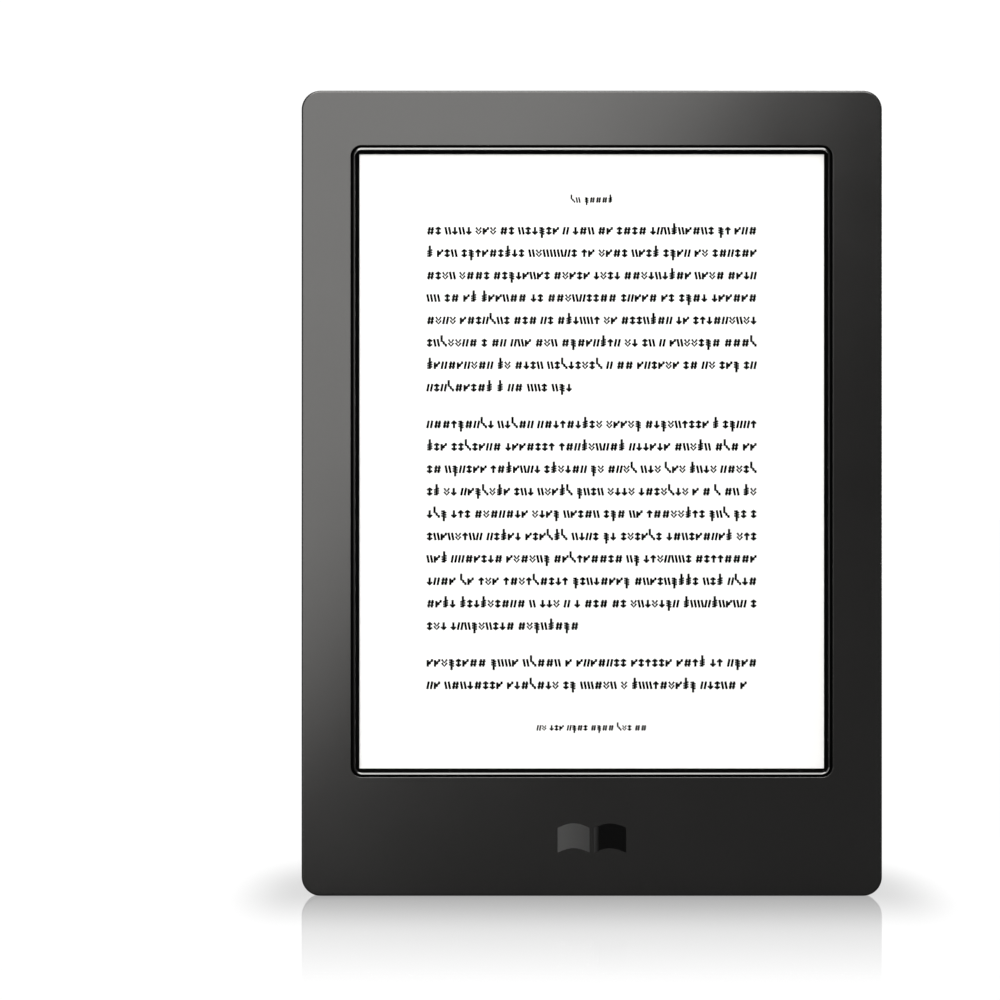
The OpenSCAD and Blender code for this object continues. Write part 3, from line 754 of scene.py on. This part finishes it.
def make_page_marks():
    """Header, paragraphs and footer of signs, a thin layer of ink on the page."""
    rng = random.Random(SEED)
    signs = [invent_sign(rng) for _ in range(SIGN_COUNT)]
    low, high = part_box("e_paper_film")
    back = low.y + PAGE_GAP
    y = (back - INK_FRONT, back)
    left, right = low.x + FILM_TUCK + PAGE_MARGIN, high.x - FILM_TUCK - PAGE_MARGIN
    top, bottom = high.z - FILM_TUCK, low.z + FILM_TUCK
    middle = (left + right) / 2
    small = X_HEIGHT * SMALL_PRINT
    bm = bmesh.new()
    write_line(bm, rng, signs, middle - HEADER_W / 2, top - HEADER_DROP, HEADER_W, small, y)
    baseline = top - FIRST_BASELINE
    for lines, last_share in PARAGRAPHS:
        for line in range(lines):
            share = last_share if line == lines - 1 else 1.0
            write_line(bm, rng, signs, left, baseline, (right - left) * share, X_HEIGHT, y)
            baseline -= LINE_PITCH
        baseline -= PARAGRAPH_SKIP
    write_line(bm, rng, signs, middle - FOOTER_W / 2, bottom + FOOTER_RISE, FOOTER_W, small, y)
    bmesh.ops.recalc_face_normals(bm, faces=bm.faces)
    piece = new_piece(bm, "page_marks", SLOT_OF["e_paper_film"], BODY_OF["e_paper_film"])
    piece.data.materials[0] = ink()


for node_name, node_object in NODES.items():
    dress(node_object, SLOT_OF[node_name])
NODES["status_light_pipe"].data.materials[0] = frosted_pipe()
make_bezel()
make_back()
make_window_frame()
make_page()
make_page_marks()
make_guide()
for softened in SOFTENED:
    soften(*softened)


# ---- Stage, lights and camera ----------------------------------------------------------------

# The photograph's width at the reader's face, and its lens and sensor in millimetres
VIEW_WIDTH = 222.2 * MM
LENS = 150
SENSOR = 36
# The reader stands to the right of the photograph's middle
CAMERA_X = -20.4 * MM
CAMERA_Z = 88 * MM
CAMERA_AWAY = VIEW_WIDTH * LENS / SENSOR


def add_camera():
    """Level camera square to the screen."""
    data = bpy.data.cameras.new("camera")
    data.lens = LENS
    data.sensor_width = SENSOR
    data.clip_start = 0.01
    camera = bpy.data.objects.new("camera", data)
    camera.location = (CAMERA_X, LOW.y - CAMERA_AWAY, CAMERA_Z)
    camera.rotation_euler = (math.pi / 2, 0, 0)
    bpy.context.collection.objects.link(camera)
    bpy.context.scene.camera = camera


# How far the floor's mirroring and its soft shadow reach, across and along the view
REFLECTION_REACH = (0.175, 0.175)
SHADOW_REACH = (0.02, 0.095)
# How far behind the object the shadow's middle lies
SHADOW_SHIFT = 12 * MM
# The floor's brightness in the darkest shadow, and its mirroring beside the object
SHADOW_TONE = 0.7
REFLECTION_SHARE = 0.43
FLOOR_ROUGHNESS = 0.03
# How much the floor takes from the lamps, and how bright it is to all but the camera
FLOOR_DIFFUSE = 0.02
FLOOR_GLOW = 0.2
# The film and the floor lie this far under the object
FILM_DEPTH = 0.04 * MM
FLOOR_DEPTH = 0.08 * MM
# Half the width of both, in metres
GROUND_HALF = 20


def vector_step(tree, operation, source, constant=None):
    """A vector calculation on a source, and on a constant if it takes one."""
    node = tree.nodes.new("ShaderNodeVectorMath")
    node.operation = operation
    link(tree, source, node.inputs[0])
    if constant is not None:
        node.inputs[1].default_value = constant
    return node.outputs["Value" if operation == "LENGTH" else "Vector"]


def distance_from_object(tree, reach, shift=0.0):
    """Distance across the floor from the object's footprint, as a share of the reach."""
    coords = tree.nodes.new("ShaderNodeTexCoord")
    from_middle = vector_step(tree, "SUBTRACT", coords.outputs["Object"], (0, shift, 0))
    away = vector_step(tree, "ABSOLUTE", from_middle)
    outside = vector_step(tree, "SUBTRACT", away, (HIGH.x, HIGH.y, 0))
    flat = vector_step(tree, "MAXIMUM", outside, (0, 0, 0))
    return vector_step(tree, "LENGTH", vector_step(tree, "DIVIDE", flat, (*reach, 1)))


def combine(tree, operation, first, second):
    """A calculation on two values."""
    node = tree.nodes.new("ShaderNodeMath")
    node.operation = operation
    link(tree, first, node.inputs[0])
    link(tree, second, node.inputs[1])
    return node


def blank_material(name):
    """A material with no nodes but its output."""
    material = bpy.data.materials.new(name)
    material.use_nodes = True
    tree = material.node_tree
    tree.nodes.clear()
    out = tree.nodes.new("ShaderNodeOutputMaterial")
    return material, tree, out.inputs["Surface"]


def floor_material():
    """White sweep that mirrors what stands on it less and less with distance."""
    material, tree, surface = blank_material("floor_gloss")
    rays = tree.nodes.new("ShaderNodeLightPath")
    seen = rays.outputs["Is Camera Ray"]
    fading = spread(tree, distance_from_object(tree, REFLECTION_REACH), REFLECTION_SHARE, 0.0)
    shadow = spread(
        tree, distance_from_object(tree, SHADOW_REACH, SHADOW_SHIFT), SHADOW_TONE, 1.0,
        "SMOOTHSTEP",
    )
    matt = tree.nodes.new("ShaderNodeBsdfDiffuse")
    matt.inputs["Color"].default_value = (*grey(FLOOR_DIFFUSE), 1)
    glow = tree.nodes.new("ShaderNodeEmission")
    lit = combine(tree, "MULTIPLY", spread(tree, seen, FLOOR_GLOW, 1.0), shadow)
    link(tree, lit.outputs[0], glow.inputs["Strength"])
    white = tree.nodes.new("ShaderNodeAddShader")
    link(tree, matt.outputs[0], white.inputs[0])
    link(tree, glow.outputs[0], white.inputs[1])
    gloss = tree.nodes.new("ShaderNodeBsdfGlossy")
    gloss.inputs["Roughness"].default_value = FLOOR_ROUGHNESS
    link(tree, shadow, gloss.inputs["Color"])
    mix = tree.nodes.new("ShaderNodeMixShader")
    link(tree, combine(tree, "MULTIPLY", fading, seen).outputs[0], mix.inputs["Fac"])
    link(tree, white.outputs[0], mix.inputs[1])
    link(tree, gloss.outputs[0], mix.inputs[2])
    link(tree, mix.outputs[0], surface)
    return material


def clear_film_material():
    """Film that changes nothing but the count of clear surfaces that a ray has passed."""
    material, tree, surface = blank_material("clear_film")
    film = tree.nodes.new("ShaderNodeBsdfTransparent")
    link(tree, film.outputs[0], surface)
    return material


# What the softboxes don't light
UNLIT_GROUND = bpy.data.collections.new("unlit_ground")


def add_ground(name, depth, material):
    """A wide level square under the object."""
    low, high = -GROUND_HALF, GROUND_HALF
    corners = [(low, low, 0), (high, low, 0), (high, high, 0), (low, high, 0)]
    mesh = bpy.data.meshes.new(name)
    mesh.from_pydata(corners, [], [(0, 1, 2, 3)])
    mesh.materials.append(material)
    ground = bpy.data.objects.new(name, mesh)
    ground.location.z = -depth
    bpy.context.collection.objects.link(ground)
    UNLIT_GROUND.objects.link(ground)


def add_floor():
    """Glossy floor under a clear film, which marks the rays that the floor mirrors."""
    add_ground("floor_film", FILM_DEPTH, clear_film_material())
    add_ground("floor", FLOOR_DEPTH, floor_material())
    for member in UNLIT_GROUND.collection_objects:
        member.light_linking.link_state = "EXCLUDE"


# Brightness of the studio by height, from level with the object to overhead
STUDIO_TONES = [(0.05, grey(0.05)), (0.45, grey(0.16)), (0.9, grey(0.8))]
# How bright its sides are, and how narrow the lit part of each
SIDE_LIGHT = 0.3
SIDE_POWER = 4
# Brightness of the white surroundings that the camera sees
WHITE_STRENGTH = 1.05


def studio_light(tree):
    """Colour of the studio: brighter overhead and at the sides, dim in front and behind."""
    coords = tree.nodes.new("ShaderNodeTexCoord")
    split = tree.nodes.new("ShaderNodeSeparateXYZ")
    link(tree, coords.outputs["Generated"], split.inputs[0])
    sky = ramp(tree, split.outputs["Z"], STUDIO_TONES)
    sides = tree.nodes.new("ShaderNodeMath")
    sides.operation = "POWER"
    sides.inputs[1].default_value = SIDE_POWER
    link(tree, split.outputs["X"], sides.inputs[0])
    total = tree.nodes.new("ShaderNodeVectorMath")
    total.operation = "ADD"
    link(tree, sky, total.inputs[0])
    link(tree, spread(tree, sides.outputs[0], 0.0, SIDE_LIGHT), total.inputs[1])
    return total.outputs["Vector"]


def sees_white(tree):
    """1 for the camera's own rays and for those that passed the clear film, otherwise 0."""
    rays = tree.nodes.new("ShaderNodeLightPath")
    either = combine(tree, "ADD", rays.outputs["Is Camera Ray"], rays.outputs["Transparent Depth"])
    either.use_clamp = True
    return either.outputs[0]


def add_world():
    """White surroundings to look at, and a dimmer studio that lights the object."""
    world = bpy.data.worlds.new("studio")
    bpy.context.scene.world = world
    world.use_nodes = True
    tree = world.node_tree
    tree.nodes.clear()
    studio = tree.nodes.new("ShaderNodeBackground")
    studio.inputs["Strength"].default_value = 1.0
    link(tree, studio_light(tree), studio.inputs["Color"])
    white = tree.nodes.new("ShaderNodeBackground")
    white.inputs["Color"].default_value = (1, 1, 1, 1)
    white.inputs["Strength"].default_value = WHITE_STRENGTH
    mix = tree.nodes.new("ShaderNodeMixShader")
    link(tree, sees_white(tree), mix.inputs["Fac"])
    link(tree, studio.outputs[0], mix.inputs[1])
    link(tree, white.outputs[0], mix.inputs[2])
    out = tree.nodes.new("ShaderNodeOutputWorld")
    link(tree, mix.outputs[0], out.inputs["Surface"])


# Colour of every lamp, slightly warm
LAMP_TINT = (1.0, 0.985, 0.955)


def rectangle_light(name, size, radiance):
    """Area light that the camera doesn't see, whose power follows from how bright it looks."""
    data = bpy.data.lights.new(name, "AREA")
    data.shape = "RECTANGLE"
    data.size, data.size_y = size
    data.energy = radiance * math.pi * size[0] * size[1]
    data.color = LAMP_TINT
    light = bpy.data.objects.new(name, data)
    light.visible_camera = False
    bpy.context.collection.objects.link(light)
    return light


def aim(light, location, target):
    """Put a light in a place and turn it to a target."""
    light.location = location
    direction = Vector(target) - Vector(location)
    light.rotation_euler = direction.to_track_quat("-Z", "Y").to_euler()


# Each softbox hangs this far before the screen or behind the back
SOFTBOX_AWAY = 0.45
# Size of each softbox, along its slanted lower edge and away from that edge, and its brightness
FRONT_BOX = (0.62, 0.34)
FRONT_RADIANCE = 3.5
BACK_BOX = (0.3, 0.12)
BACK_RADIANCE = 7.0
# Where each softbox's slanted lower edge is seen in the flat face or back, as x and z
FRONT_GLEAM = ((-58 * MM, 50 * MM), (27 * MM, 172 * MM))
BACK_GLEAM = ((-50 * MM, 90 * MM), (-38 * MM, 235 * MM))


def mirrored(place_on_face):
    """The point of the softbox's plane that the camera sees in the face at that place."""
    reach = SOFTBOX_AWAY / CAMERA_AWAY
    x, z = place_on_face
    return Vector((x + (x - CAMERA_X) * reach, 0, z + (z - CAMERA_Z) * reach))


def add_softbox(name, gleam, size, turned, radiance):
    """Softbox in front of the face, or with turned half a turn, behind the back."""
    foot, head = mirrored(gleam[0]), mirrored(gleam[1])
    along = (head - foot).normalized()
    outward = Vector((-along.z, 0, along.x))
    centre = (foot + head) / 2 + outward * size[1] / 2
    centre.y = LOW.y - SOFTBOX_AWAY
    facing = Matrix((along, outward, along.cross(outward))).transposed().to_4x4()
    light = rectangle_light(name, size, radiance)
    light.light_linking.receiver_collection = UNLIT_GROUND
    light.matrix_world = (
        Matrix.Rotation(turned, 4, "Z") @ Matrix.Translation(centre) @ facing
    )


# Soft light from above, and a glint that only glossy surfaces show, on the edges that lean up:
# the size, the brightness and the place of each
OVERHEAD = ((0.8, 0.5), 3.0, (0, -0.1, 1.2))
GLINT = ((0.9, 0.7), 10.0, (0, -0.75, 0.9))
# What both point at
LAMP_TARGET = (0, 0, 0.1)


def add_lamp(name, size, radiance, location):
    """Light of a given brightness that points at the object."""
    lamp = rectangle_light(name, size, radiance)
    aim(lamp, location, LAMP_TARGET)
    return lamp


add_camera()
add_floor()
add_world()
add_softbox("softbox_front", FRONT_GLEAM, FRONT_BOX, 0, FRONT_RADIANCE)
add_softbox("softbox_back", BACK_GLEAM, BACK_BOX, math.pi, BACK_RADIANCE)
add_lamp("overhead", *OVERHEAD)
add_lamp("glint", *GLINT).visible_diffuse = False
bpy.context.scene.view_settings.view_transform = "Standard"
